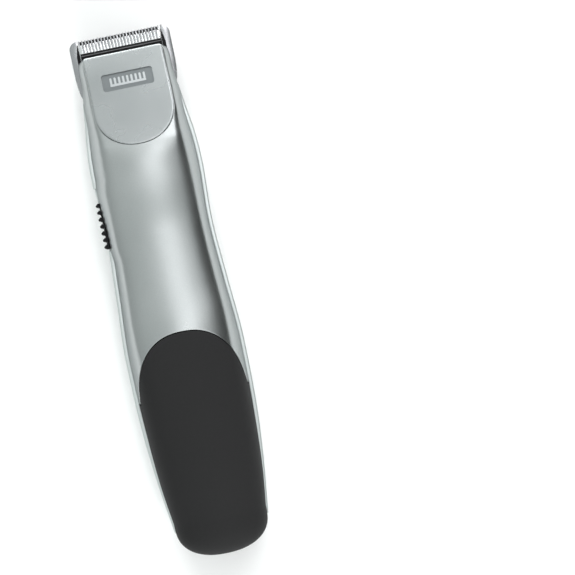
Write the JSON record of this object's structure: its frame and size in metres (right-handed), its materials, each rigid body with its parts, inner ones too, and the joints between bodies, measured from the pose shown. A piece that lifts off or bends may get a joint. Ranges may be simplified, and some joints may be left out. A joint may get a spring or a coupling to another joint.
{
  "type": "beard trimmer",
  "caption": "Battery beard trimmer: silver two-shell body, black slide-off battery cover, side switch, removable toothed blade head driven by a small motor.",
  "frame": {"origin": "bottom centre of the trimmer's bounding box, lying on the flat of its back", "axes": "+Y along the body towards the blade tips, +Z out of the front face, +X to the right seen from the front"},
  "size_m": [0.0374, 0.165, 0.0282],
  "materials": {
    "silver_plastic": "silver metallic paint, satin gloss",
    "plate_silver": "silver metallic paint, satin gloss",
    "badge_grey": "satin",
    "black_soft": "soft-touch matte",
    "black_plastic": "satin",
    "grey_plastic": "matte",
    "nylon": "matte",
    "blade_steel": "ground",
    "steel": "plated",
    "brass": "bright",
    "copper": "bright",
    "magnet": "sintered",
    "cell_skin": "printed film",
    "red_wire": "insulation",
    "black_wire": "insulation"
  },
  "bodies": {
    "housing": {"front_housing": "silver_plastic", "rear_housing": "silver_plastic", "face_plate": "plate_silver", "face_badge": "badge_grey", "motor_end_cap": "black_plastic", "motor_mount": "grey_plastic", "switch_base": "grey_plastic", "battery_tray": "grey_plastic", "motor_can": "steel", "contact_spring": "steel", "bridge_spring": "steel", "housing_screw_1": "steel", "housing_screw_2": "steel", "housing_screw_3": "steel", "housing_screw_4": "steel", "front_bearing": "brass", "switch_contact_in": "brass", "switch_contact_out": "brass", "contact_plate": "brass", "contact_spring_plate": "brass", "bridge_plate": "brass", "brush_left": "copper", "brush_right": "copper", "magnet_left": "magnet", "magnet_right": "magnet", "battery_cell_left": "cell_skin", "battery_cell_right": "cell_skin", "lead_wire_red": "red_wire", "lead_wire_switch": "red_wire", "lead_wire_black": "black_wire"},
    "power_switch": {"switch_button": "black_plastic", "switch_slider": "black_plastic", "switch_wiper": "brass"},
    "rotor": {"motor_shaft": "steel", "armature": "copper", "commutator": "copper", "eccentric_cam": "nylon"},
    "blade_head": {"stationary_blade": "blade_steel", "blade_carrier": "grey_plastic", "blade_screw_left": "steel", "blade_screw_right": "steel", "tension_spring": "steel"},
    "cutter": {"moving_blade": "blade_steel", "drive_yoke": "nylon"},
    "cover": {"battery_cover": "black_soft"}
  },
  "joints": [
    {"name": "switch_slide", "type": "slide", "parent": "housing", "child": "power_switch", "axis": [0, 1, 0], "range_m": [0, 0.004]},
    {"name": "rotor_spin", "type": "hinge", "parent": "housing", "child": "rotor", "pos_m": [0, 0.0445, 0.012], "axis": [0, 1, 0], "continuous": true},
    {"name": "head_slide", "type": "slide", "parent": "housing", "child": "blade_head", "axis": [0, 1, 0], "range_m": [0, 0.02]},
    {"name": "cutter_stroke", "type": "slide", "parent": "blade_head", "child": "cutter", "axis": [1, 0, 0], "range_m": [-0.001, 0.001]},
    {"name": "cover_slide", "type": "slide", "parent": "housing", "child": "cover", "axis": [0, -1, 0], "range_m": [0, 0.075]}
  ]
}
